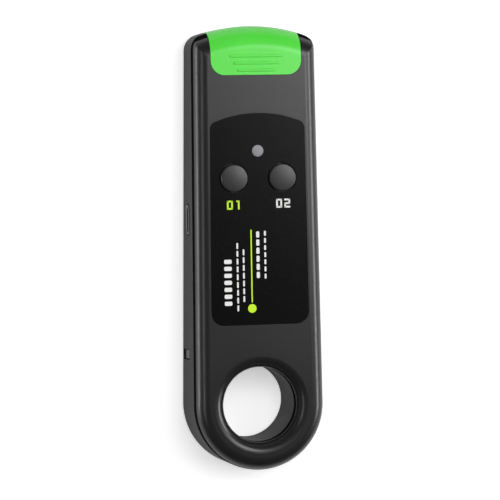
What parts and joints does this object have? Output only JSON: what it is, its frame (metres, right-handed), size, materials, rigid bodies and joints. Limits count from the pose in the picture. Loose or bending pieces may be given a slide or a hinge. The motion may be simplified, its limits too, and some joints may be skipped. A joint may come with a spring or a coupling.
{
  "type": "visual fault locator",
  "caption": "Pocket visual fault locator with a finger ring, hinged head cover, ferrule port, torch, push buttons and a charging socket.",
  "frame": {"origin": "centre of the plan at the back face, which lies on Z = 0", "axes": "+Y towards the green head, +X to the right of the face, +Z out of the face"},
  "size_m": [0.0408, 0.138, 0.0233],
  "materials": {
    "front_shell": "satin black moulding",
    "back_shell": "satin black moulding",
    "label_overlay": "black printed film",
    "dust_cap": "bright green moulding",
    "cap_hinge_pin": "ground steel pin",
    "cap_seal": "soft black rubber",
    "port_collar": "nickel-plated turned brass",
    "ferrule_sleeve": "polished zirconia",
    "laser_barrel": "turned brass",
    "laser_diode": "gold-plated can",
    "laser_lens": "clear",
    "torch_led": "clear epoxy",
    "torch_led_legs": "tinned",
    "main_board": "green solder mask",
    "vfl_button": "dark grey moulding",
    "led_button": "dark grey moulding",
    "vfl_switch_body": "black",
    "led_switch_body": "black",
    "vfl_switch_plunger": "white",
    "led_switch_plunger": "white",
    "indicator_light_pipe": "milky grey",
    "indicator_led": "white",
    "control_chip": "black epoxy",
    "charging_chip": "black epoxy",
    "usb_shell": "drawn stainless steel",
    "usb_tongue": "black",
    "usb_contacts": "gold plated",
    "battery_cell": "aluminium laminate pouch",
    "battery_pad": "foam tape",
    "battery_connector": "natural nylon",
    "battery_lead_red": "red insulation",
    "battery_lead_black": "black insulation",
    "laser_lead_red": "red insulation",
    "laser_lead_black": "black insulation",
    "case_screws": "black zinc",
    "board_screws": "zinc"
  },
  "bodies": {
    "casing": {"front_shell": "front_shell", "back_shell": "back_shell", "label_overlay": "label_overlay", "cap_hinge_pin": "cap_hinge_pin", "port_collar": "port_collar", "ferrule_sleeve": "ferrule_sleeve", "laser_barrel": "laser_barrel", "laser_diode": "laser_diode", "laser_lens": "laser_lens", "torch_led": "torch_led", "torch_led_legs": "torch_led_legs", "main_board": "main_board", "vfl_switch_body": "vfl_switch_body", "led_switch_body": "led_switch_body", "indicator_light_pipe": "indicator_light_pipe", "indicator_led": "indicator_led", "control_chip": "control_chip", "charging_chip": "charging_chip", "usb_shell": "usb_shell", "usb_tongue": "usb_tongue", "usb_contacts": "usb_contacts", "battery_cell": "battery_cell", "battery_pad": "battery_pad", "battery_connector": "battery_connector", "battery_lead_red": "battery_lead_red", "battery_lead_black": "battery_lead_black", "laser_lead_red": "laser_lead_red", "laser_lead_black": "laser_lead_black", "case_screws": "case_screws", "board_screws": "board_screws"},
    "cover": {"dust_cap": "dust_cap", "cap_seal": "cap_seal"},
    "vfl_key": {"vfl_button": "vfl_button", "vfl_switch_plunger": "vfl_switch_plunger"},
    "led_key": {"led_button": "led_button", "led_switch_plunger": "led_switch_plunger"}
  },
  "joints": [
    {"name": "cap_hinge", "type": "hinge", "parent": "casing", "child": "cover", "pos_m": [0, 0.06629, 0.00253], "axis": [-1, 0, 0], "range_deg": [0, 140]},
    {"name": "vfl_press", "type": "slide", "parent": "casing", "child": "vfl_key", "axis": [0, -0.0472, -0.9989], "range_m": [0, 0.0005], "stiffness_N_per_m": 2000, "springref_m": -0.0002},
    {"name": "led_press", "type": "slide", "parent": "casing", "child": "led_key", "axis": [0, -0.0472, -0.9989], "range_m": [0, 0.0005], "stiffness_N_per_m": 2000, "springref_m": -0.0002}
  ]
}
